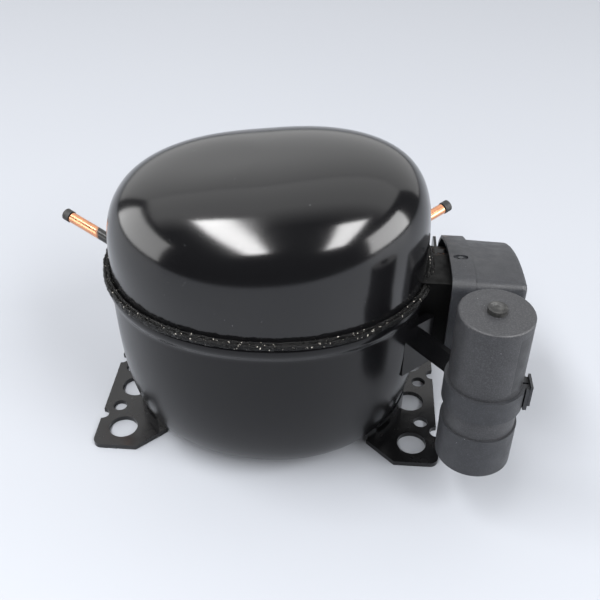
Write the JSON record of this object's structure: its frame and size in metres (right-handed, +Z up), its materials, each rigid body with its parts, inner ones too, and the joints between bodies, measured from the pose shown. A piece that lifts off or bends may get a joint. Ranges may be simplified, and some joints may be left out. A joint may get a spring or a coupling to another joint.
{
  "type": "hermetic reciprocating compressor",
  "caption": "Black oval welded-shell refrigeration compressor on two drilled feet, with copper stubs, terminal cover, strapped start capacitor and a sprung motor and pump inside.",
  "frame": {"origin": "centre of the base bolt pattern, in the plane the feet stand on", "axes": "+X along the long axis towards the terminal cover, +Y to the back where the tubes leave, +Z up"},
  "size_m": [0.2663, 0.1818, 0.167],
  "materials": {
    "black_gloss_paint": "gloss",
    "black_weld": "rough",
    "black_satin_paint": "satin",
    "copper": "polished",
    "winding_copper": "varnished",
    "black_rubber": "matte",
    "black_plastic": "fine matte grain",
    "capacitor_case": "fine matte grain",
    "vent_rubber": "satin",
    "pale_plastic": "matte",
    "relay_plastic": "matte",
    "protector_black": "gloss",
    "glass": "fused",
    "plated_steel": "plated",
    "spring_steel": "drawn",
    "silicon_steel": "laminated",
    "cast_iron": "as cast",
    "machined_steel": "ground",
    "aluminium": "die cast",
    "gasket": "matte",
    "lead_insulation": "satin"
  },
  "bodies": {
    "shell": {"lower_shell": "black_gloss_paint", "upper_shell": "black_gloss_paint", "weld_bead": "black_weld", "left_foot": "black_gloss_paint", "right_foot": "black_gloss_paint", "spring_studs": "plated_steel", "suction_tube": "copper", "process_tube": "copper", "discharge_tube": "copper", "tube_collars": "black_satin_paint", "terminal_body": "plated_steel", "glass_beads": "glass", "terminal_pins": "plated_steel", "cluster_block": "pale_plastic", "motor_leads": "lead_insulation", "terminal_bracket": "black_satin_paint", "start_relay": "relay_plastic", "overload_protector": "protector_black", "capacitor_can": "capacitor_case", "vent_plug": "vent_rubber", "capacitor_cup": "black_plastic", "capacitor_tabs": "plated_steel", "capacitor_strap": "black_plastic", "capacitor_bracket": "black_satin_paint", "strap_buckle": "black_plastic"},
    "cover": {"terminal_cover": "black_plastic"},
    "suction_cap": {"suction_plug": "black_rubber"},
    "process_cap": {"process_plug": "black_rubber"},
    "discharge_cap": {"discharge_plug": "black_rubber"},
    "pump": {"stator_core": "silicon_steel", "stator_winding": "winding_copper", "stator_bolts": "plated_steel", "spring_caps": "pale_plastic", "suspension_springs": "spring_steel", "cylinder_block": "cast_iron", "cylinder_gasket": "gasket", "valve_plate": "machined_steel", "head_gasket": "gasket", "cylinder_head": "aluminium", "head_screws": "plated_steel", "valve_stop": "spring_steel", "suction_muffler": "pale_plastic", "discharge_muffler": "machined_steel", "muffler_bolt": "plated_steel", "discharge_line": "copper", "thrust_washer": "machined_steel"},
    "crank": {"crankshaft": "cast_iron", "rotor_core": "silicon_steel", "rotor_cage": "aluminium", "oil_pickup": "machined_steel"},
    "block": {"slide_block": "machined_steel"},
    "link": {"oil_plug": "machined_steel"},
    "piston": {"piston": "machined_steel", "slide_yoke": "machined_steel"},
    "suction_valve": {"suction_reed": "spring_steel"},
    "discharge_valve": {"discharge_reed": "spring_steel"}
  },
  "joints": [
    {"name": "pump_float", "type": "slide", "parent": "shell", "child": "pump", "axis": [0, 0, 1], "range_m": [-0.0015, 0.0015], "stiffness_N_per_m": 30000, "springref_m": 0.00169, "deforming": ["suspension_springs", "discharge_line"]},
    {"name": "crank_spin", "type": "hinge", "parent": "pump", "child": "crank", "pos_m": [0, 0, 0.06], "axis": [0, 0, 1], "continuous": true},
    {"name": "block_turn", "type": "hinge", "parent": "crank", "child": "block", "pos_m": [0.008, 0, 0.128], "axis": [0, 0, 1], "continuous": true},
    {"name": "link_turn", "type": "hinge", "parent": "crank", "child": "link", "pos_m": [0.004, 0, 0.1315], "axis": [0, 0, 1], "continuous": true},
    {"name": "piston_turn", "type": "hinge", "parent": "link", "child": "piston", "pos_m": [0.008, 0, 0.128], "axis": [0, 0, 1], "continuous": true},
    {"name": "suction_reed_lift", "type": "hinge", "parent": "pump", "child": "suction_valve", "pos_m": [0.0465, -0.0035, 0.144], "axis": [0, 1, 0], "range_deg": [0, 3], "stiffness_Nm_per_rad": 0.05},
    {"name": "discharge_reed_lift", "type": "hinge", "parent": "pump", "child": "discharge_valve", "pos_m": [0.0495, 0.0065, 0.137], "axis": [0, -1, 0], "range_deg": [0, 5], "stiffness_Nm_per_rad": 0.05},
    {"name": "cover_slide", "type": "slide", "parent": "shell", "child": "cover", "axis": [1, 0, 0], "range_m": [0, 0.05]},
    {"name": "suction_plug_pull", "type": "slide", "parent": "shell", "child": "suction_cap", "axis": [-0.8554, 0.4938, 0.1564], "range_m": [0, 0.02]},
    {"name": "process_plug_pull", "type": "slide", "parent": "shell", "child": "process_cap", "axis": [0.7566, 0.6349, 0.1564], "range_m": [0, 0.02]},
    {"name": "discharge_plug_pull", "type": "slide", "parent": "shell", "child": "discharge_cap", "axis": [-0.4174, 0.8951, 0.1564], "range_m": [0, 0.02]}
  ],
  "couplings": [
    {"joint": "block_turn", "follows": "crank_spin", "ratio": -1},
    {"joint": "link_turn", "follows": "crank_spin", "ratio": -2},
    {"joint": "piston_turn", "follows": "crank_spin", "ratio": 1}
  ]
}
